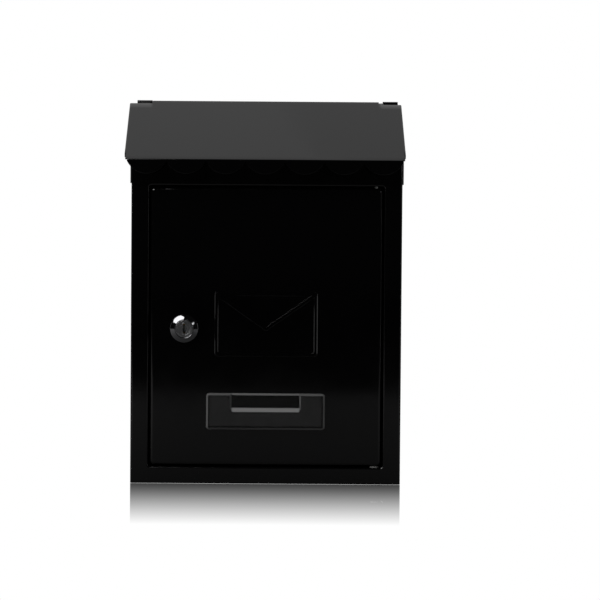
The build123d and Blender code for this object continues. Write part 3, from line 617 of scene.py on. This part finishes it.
def scalloped_lid_tree():
    tree, size, material = new_tree(
        "scalloped_lid", whole=("Scallops",),
        Half_Width=lid_half, Valance_Half=valance_half, Roll_Half=roll_half, Roll_Radius=roll_radius,
        Roll_Turn=roll_turn, Slope=lid_slope, Slope_Length=slope_length, Corner_Start=corner_start,
        Bend_Radius=bend_radius, Side_Edge=side_edge, Side_Setback=side_edge_setback,
        Scallops=scallop_count, Scallop_Drop=scallop_drop, Shoulder=shoulder,
        Rod_Y=lid_axis.y, Rod_Z=lid_axis.z, Middle=lid_middle,
    )
    columns_per_scallop, bend_columns, edge_columns = 11, 5, 2
    valance_columns = scallop_count * columns_per_scallop
    half_columns = valance_columns + 1 + bend_columns + edge_columns
    roll_rows, corner_rows, slope_rows, setback_rows, bend_rows, drop_rows = 28, 2, 10, 2, 6, 12
    row_ends = [0]
    for count in (roll_rows, corner_rows, slope_rows, setback_rows, bend_rows, drop_rows):
        row_ends.append(row_ends[-1] + count)
    blank = add_node(
        tree, "GeometryNodeMeshGrid", Vertices_X=2 * half_columns + 1, Vertices_Y=row_ends[-1] + 1,
        Size_X=2.0, Size_Y=1.0,
    )
    place = tree.nodes.new("GeometryNodeInputPosition")
    split = add_node(tree, "ShaderNodeSeparateXYZ", Vector=place.outputs[0])
    column = Formula(tree, split.outputs["X"]) * half_columns
    row = (Formula(tree, split.outputs["Y"]) + 0.5) * row_ends[-1]

    # across the blank, counted from the middle; one column is moved onto the end of the roll
    count = (column.abs() + 0.5).floor()
    pitch = size["Valance_Half"] / valance_columns
    even = count.at_most(valance_columns) * pitch
    beside_roll = ((even - size["Roll_Half"]).abs() < pitch * 0.5)
    even = even + beside_roll * (size["Roll_Half"] - even)
    flat_half = size["Half_Width"] - size["Bend_Radius"]
    bend_start, bend_end = valance_columns + 1, valance_columns + 1 + bend_columns
    bend_angle = ramp(count, bend_start, bend_end, pi / 2)
    beyond = ramp(count, bend_end, half_columns, 1.0) * (size["Side_Edge"] - size["Bend_Radius"])
    side = column.math("SIGN")
    flat = even + ramp(count, valance_columns, bend_start, 1.0) * (flat_half - size["Valance_Half"])
    x = side * (flat + size["Bend_Radius"] * bend_angle.sin())
    fall = size["Bend_Radius"] * (1.0 - bend_angle.cos()) + beyond

    # along the blank
    along = (row + 0.5).floor()
    turn = (1.0 - ramp(along, row_ends[0], row_ends[1], 1.0)) * size["Roll_Turn"]
    straight = ramp(along, row_ends[1], row_ends[2], 1.0) * size["Corner_Start"] + ramp(
        along, row_ends[2], row_ends[3], 1.0
    ) * (size["Slope_Length"] - size["Side_Setback"] - size["Corner_Start"]) + ramp(
        along, row_ends[3], row_ends[4], 1.0
    ) * size["Side_Setback"]
    eave_angle = ramp(along, row_ends[4], row_ends[5], 1.0) * (pi / 2 - size["Slope"])
    width = size["Valance_Half"] * 2.0 / size["Scallops"]
    drop = size["Scallop_Drop"]
    radius = (width * width / 4.0 + drop * drop) / (drop * 2.0)
    off_middle = (((even * side + size["Valance_Half"]) / width).wrap() - 0.5).abs() * width
    off_middle = off_middle * (count < valance_columns) + width * 0.5 * (1.0 - (count < valance_columns))
    arc = (radius * radius - off_middle * off_middle).at_least(0.0).sqrt() - radius + drop
    hang = ramp(along, row_ends[5], row_ends[6], 1.0) * (size["Shoulder"] + arc.at_least(0.0))

    # fold it
    slope, bend, roll = size["Slope"], size["Bend_Radius"], size["Roll_Radius"]
    y = size["Rod_Y"] + roll * (turn - slope).sin() - straight * slope.cos() + bend * (
        slope.sin() - (slope + eave_angle).sin()
    ) + fall * slope.sin()
    z = size["Rod_Z"] + roll * (turn - slope).cos() - straight * slope.sin() + bend * (
        (slope + eave_angle).cos() - slope.cos()
    ) - hang - fall * slope.cos()

    # cut the corners off the flat blank before it is bent; a face keeps its place in the blank
    face_column = column.abs()
    roll_end = (size["Roll_Half"] / pitch + 0.5).floor()
    outside_roll = (face_column > roll_end) * (row < row_ends[1] + corner_rows)
    outside_valance = (face_column > valance_columns) * (row > row_ends[4])
    side_corner = (face_column > bend_start) * (row > row_ends[3])
    cut = (outside_roll + outside_valance + side_corner) > 0.5
    notched = add_node(
        tree, "GeometryNodeDeleteGeometry", {"domain": "FACE"},
        Geometry=blank.outputs["Mesh"], Selection=cut,
    )
    outward = add_node(tree, "GeometryNodeFlipFaces", Mesh=notched.outputs[0])
    bent = add_node(
        tree, "GeometryNodeSetPosition", Geometry=outward.outputs[0],
        Position=point(tree, x + size["Middle"], y, z),
    )
    finish_tree(tree, bent.outputs[0], material)
    return tree


lid_sheet = make_piece(
    "scalloped_lid", scalloped_lid_tree(), black_paint, "lid", "black_paint", ("lid",), thickness=sheet,
    edge=0.22 * mm, Scallops=scallop_count,
)
print("lid faces:", len(lid_sheet.data.polygons))

# %% [markdown]
# ### The lock's barrel and bezel
# A barrel lock is turned on a lathe from one bar. The tree spins a profile of radius and distance in
# front of the door, then cuts the rest: the thread, which winds round the barrel, the two flats that
# stop the barrel from turning in the door, and the gap at the rear in which the stop tab makes its
# quarter turn.

# %% A tree for the lock's barrel
def spun(tree, profile, columns, cut):
    """Spins (radius, height, rows) points; cut changes radius and height by angle and row."""
    rows = sum(point_rows for _, _, point_rows in profile[1:])
    blank = add_node(
        tree, "GeometryNodeMeshGrid", Vertices_X=columns + 1, Vertices_Y=rows + 1, Size_X=1.0, Size_Y=1.0
    )
    place = tree.nodes.new("GeometryNodeInputPosition")
    split = add_node(tree, "ShaderNodeSeparateXYZ", Vector=place.outputs[0])
    angle = (Formula(tree, split.outputs["X"]) + 0.5) * (2 * pi)
    row = (Formula(tree, split.outputs["Y"]) + 0.5) * rows
    radius, height = constant(tree, profile[0][0]), constant(tree, profile[0][1])
    reached = 0
    for before, after in zip(profile, profile[1:]):
        share = ramp(row, reached, reached + after[2], 1.0)
        radius = radius + share * (after[0] - before[0])
        height = height + share * (after[1] - before[1])
        reached += after[2]
    return blank.outputs["Mesh"], angle, *cut(angle, row, radius, height)


barrel_radius, barrel_end, bezel_radius = 9.4 * mm, 12.2 * mm, 11.0 * mm
plug_bore, head_bore, head_seat = 6.08 * mm, 7.08 * mm, 1.42 * mm
bezel_height, thread_front = 3.6 * mm, -4.5 * mm
thread_rows, run_in_rows, barrel_columns = 64, 8, 96


def threaded_barrel_tree():
    tree, size, material = new_tree(
        "threaded_barrel", Thread_Pitch=1 * mm, Thread_Depth=0.45 * mm, Across_Flats=16 * mm,
        Gap_From=radians(154.5), Gap_To=radians(295.5), Gap_Height=1.2 * mm, Barrel_End=barrel_end,
    )
    profile = [
        (plug_bore, -barrel_end, 0), (plug_bore, head_seat, 1), (head_bore, head_seat, 1),
        (head_bore, bezel_height - 0.2 * mm, 1), (head_bore + 0.06 * mm, bezel_height - 0.06 * mm, 1),
        (head_bore + 0.2 * mm, bezel_height, 1), (8.4 * mm, bezel_height - 0.58 * mm, 2),
        (9.6 * mm, bezel_height - 1.23 * mm, 2), (10.5 * mm, bezel_height - 1.78 * mm, 2),
        (10.85 * mm, bezel_height - 2.02 * mm, 1), (bezel_radius, bezel_height - 2.3 * mm, 1),
        (bezel_radius, 0.1 * mm, 1), (bezel_radius - 0.1 * mm, 0.0, 1),
        (barrel_radius, 0.0, 1), (barrel_radius, thread_front, 1),
        (barrel_radius, -barrel_end, thread_rows), (plug_bore, -barrel_end, 1),
    ]
    first_thread_row = sum(rows for _, _, rows in profile[1:-2])

    def cut(angle, row, radius, height):
        in_gap = (angle > size["Gap_From"]) * (angle < size["Gap_To"])
        height = height.at_least(in_gap * size["Gap_Height"] - size["Barrel_End"])
        last_thread_row = first_thread_row + thread_rows
        run_in = ramp(row, first_thread_row, first_thread_row + run_in_rows, 1.0)
        on_thread = run_in * (row < last_thread_row + 0.5)
        wave = ((height / size["Thread_Pitch"] + angle / (2 * pi)).wrap() - 0.5).abs() * 2.0
        return radius - on_thread * wave * size["Thread_Depth"], height

    blank, angle, radius, height = spun(tree, profile, barrel_columns, cut)
    behind = height < -1e-6
    x, z = radius * angle.cos(), radius * angle.sin()
    flat = size["Across_Flats"] / 2.0
    z = z + behind * (z.at_most(flat).at_least(-flat) - z)
    outward = add_node(tree, "GeometryNodeFlipFaces", Mesh=blank)
    placed = add_node(
        tree, "GeometryNodeSetPosition", Geometry=outward.outputs[0],
        Position=point(tree, x + lock_axis.x, front_y - height, z + lock_axis.z),
    )
    closed = add_node(tree, "GeometryNodeMergeByDistance", Geometry=placed.outputs[0], Distance=same_place)
    finish_tree(tree, closed.outputs[0], material)
    return tree


make_piece(
    "lock_barrel", threaded_barrel_tree(), bezel_chrome, "door", "chrome", ("lock_housing",), smooth=30,
    Thread_Pitch=1 * mm,
)

# %% [markdown]
# ### Small parts that repeat
# The tooth washer under the nut bites with a ring of twisted teeth, so one tooth is made and set round
# a circle. Each wafer has its own coil spring, so one coil is wound and set along the plug. Spot welds
# join the inner flanges to the shell every few centimetres and leave small round marks inside the box.

# %% Tooth washer
washer_low, washer_high = (Vector(corner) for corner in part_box("lock_tooth_washer"))


def tooth_washer_tree():
    tree, size, material = new_tree(
        "tooth_washer", whole=("Teeth",), Teeth=18, Twist=radians(7.0), Tooth_Length=1.9 * mm,
        Tooth_Width=2.3 * mm, Tooth_Sheet=0.4 * mm, Tooth_Overlap=0.3 * mm,
        Outer_Radius=(washer_high.x - washer_low.x) / 2, Root_Radius=11.15 * mm, Sheet=0.7 * mm,
    )
    half = size["Sheet"] / 2.0
    ring_columns, ring_sides = 72, 4
    blank = add_node(
        tree, "GeometryNodeMeshGrid", Vertices_X=ring_columns + 1, Vertices_Y=ring_sides + 1,
        Size_X=1.0, Size_Y=1.0,
    )
    place = tree.nodes.new("GeometryNodeInputPosition")
    split = add_node(tree, "ShaderNodeSeparateXYZ", Vector=place.outputs[0])
    angle = (Formula(tree, split.outputs["X"]) + 0.5) * (2 * pi)
    side = ((Formula(tree, split.outputs["Y"]) + 0.5) * ring_sides + 0.5).floor()
    outer = (side > 0.5) * (side < 2.5)
    front = (side > 1.5) * (side < 3.5)
    radius = size["Root_Radius"] + outer * (size["Outer_Radius"] - size["Root_Radius"])
    ring = add_node(
        tree, "GeometryNodeSetPosition", Geometry=blank.outputs["Mesh"],
        Position=point(tree, radius * angle.cos(), half - front * size["Sheet"], radius * angle.sin()),
    )
    ring = add_node(tree, "GeometryNodeMergeByDistance", Geometry=ring.outputs[0], Distance=same_place)
    tooth = add_node(
        tree, "GeometryNodeMeshCube",
        Size=point(tree, size["Tooth_Length"], size["Tooth_Width"], size["Tooth_Sheet"]),
    )
    twisted = add_node(
        tree, "GeometryNodeTransform", Geometry=tooth.outputs["Mesh"],
        Rotation=point(tree, size["Twist"], 0.0, 0.0),
    )
    middle = size["Root_Radius"] - size["Tooth_Length"] / 2.0 + size["Tooth_Overlap"]
    seats = add_node(tree, "GeometryNodeMeshCircle", Vertices=size["Teeth"], Radius=middle)
    index = Formula(tree, tree.nodes.new("GeometryNodeInputIndex").outputs[0])
    turn = index / size["Teeth"] * (2 * pi)
    teeth = add_node(
        tree, "GeometryNodeInstanceOnPoints", Points=seats.outputs["Mesh"], Instance=twisted.outputs[0],
        Rotation=point(tree, 0.0, 0.0, turn),
    )
    upright = add_node(tree, "GeometryNodeTransform", Geometry=teeth.outputs[0], Rotation=(pi / 2, 0, 0))
    both = tree.nodes.new("GeometryNodeJoinGeometry")
    tree.links.new(upright.outputs[0], both.inputs[0])
    tree.links.new(ring.outputs[0], both.inputs[0])
    placed = add_node(
        tree, "GeometryNodeTransform", Geometry=both.outputs[0],
        Translation=(lock_axis.x, (washer_low.y + washer_high.y) / 2, lock_axis.z),
    )
    finish_tree(tree, placed.outputs[0], material)
    return tree


make_piece(
    "toothed_washer", tooth_washer_tree(), zinc, "door", "zinc_steel", ("lock_tooth_washer",), Teeth=18
)

# %% Wafer springs
spring_low, spring_high = (Vector(corner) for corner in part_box("lock_wafer_springs"))
wire_radius = 0.06 * mm
first_spring = 0.31 * mm


def coil_spring_tree():
    tree, size, material = new_tree(
        "coil_springs", whole=("Springs",), Springs=5, Turns=4.0, Coil_Radius=0.25 * mm,
        Wire_Radius=wire_radius, Height=1.9 * mm, Pitch=1.9 * mm,
    )
    path = add_node(
        tree, "GeometryNodeCurveSpiral", Resolution=20, Rotations=size["Turns"],
        Start_Radius=size["Coil_Radius"], End_Radius=size["Coil_Radius"], Height=size["Height"],
    )
    wire = add_node(tree, "GeometryNodeCurvePrimitiveCircle", Resolution=8, Radius=size["Wire_Radius"])
    coil = add_node(
        tree, "GeometryNodeCurveToMesh", Curve=path.outputs[0], Profile_Curve=wire.outputs[0], Fill_Caps=True
    )
    step = point(tree, 0.0, size["Pitch"], 0.0)
    seats = add_node(tree, "GeometryNodeMeshLine", Count=size["Springs"], Offset=step)
    coils = add_node(
        tree, "GeometryNodeInstanceOnPoints", Points=seats.outputs["Mesh"], Instance=coil.outputs[0]
    )
    foot = ((spring_low.x + spring_high.x) / 2, spring_low.y + first_spring, spring_low.z + wire_radius)
    placed = add_node(tree, "GeometryNodeTransform", Geometry=coils.outputs[0], Translation=foot)
    finish_tree(tree, placed.outputs[0], material)
    return tree


make_piece(
    "coil_springs", coil_spring_tree(), spring_steel, "lock_core", "spring_steel", ("lock_wafer_springs",),
    Springs=5,
)

# %% Spot welds
back_high = Vector(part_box("back_panel")[1])
back_sheet = 1.2 * mm
weld_depth = 5.5 * mm
first_weld = 24 * mm


def weld_row_tree():
    tree, size, material = new_tree(
        "weld_marks", whole=("Count",), Count=6, Radius=2.1 * mm, Rise=0.12 * mm, Half_Width=100 * mm,
        Depth=-5 * mm, First=-100 * mm, Spacing=40 * mm,
    )
    mark = add_node(
        tree, "GeometryNodeMeshCone", {"fill_type": "NGON"}, Vertices=24, Radius_Top=size["Radius"] * 0.7,
        Radius_Bottom=size["Radius"], Depth=size["Rise"],
    )
    both = tree.nodes.new("GeometryNodeJoinGeometry")
    for side in (-1.0, 1.0):
        line = add_node(
            tree, "GeometryNodeMeshLine", Count=size["Count"],
            Start_Location=point(tree, size["Half_Width"] * side, size["Depth"], size["First"]),
            Offset=point(tree, 0.0, 0.0, size["Spacing"]),
        )
        marks = add_node(
            tree, "GeometryNodeInstanceOnPoints", Points=line.outputs["Mesh"],
            Instance=mark.outputs["Mesh"], Rotation=(0, -side * pi / 2, 0),
        )
        tree.links.new(marks.outputs[0], both.inputs[0])
    finish_tree(tree, both.outputs[0], material)
    return tree


make_piece(
    "weld_marks", weld_row_tree(), black_paint, "housing", "black_paint", Count=6,
    Half_Width=back_high.x - back_sheet, Depth=-weld_depth, First=floor_z + first_weld,
)

# %% How far the pieces reach beyond the imported parts
visual_low, visual_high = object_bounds()
grown = (visual_high - visual_low) - (cad_high - cad_low)
print("grew by (mm):", [round(length / mm, 2) for length in grown])
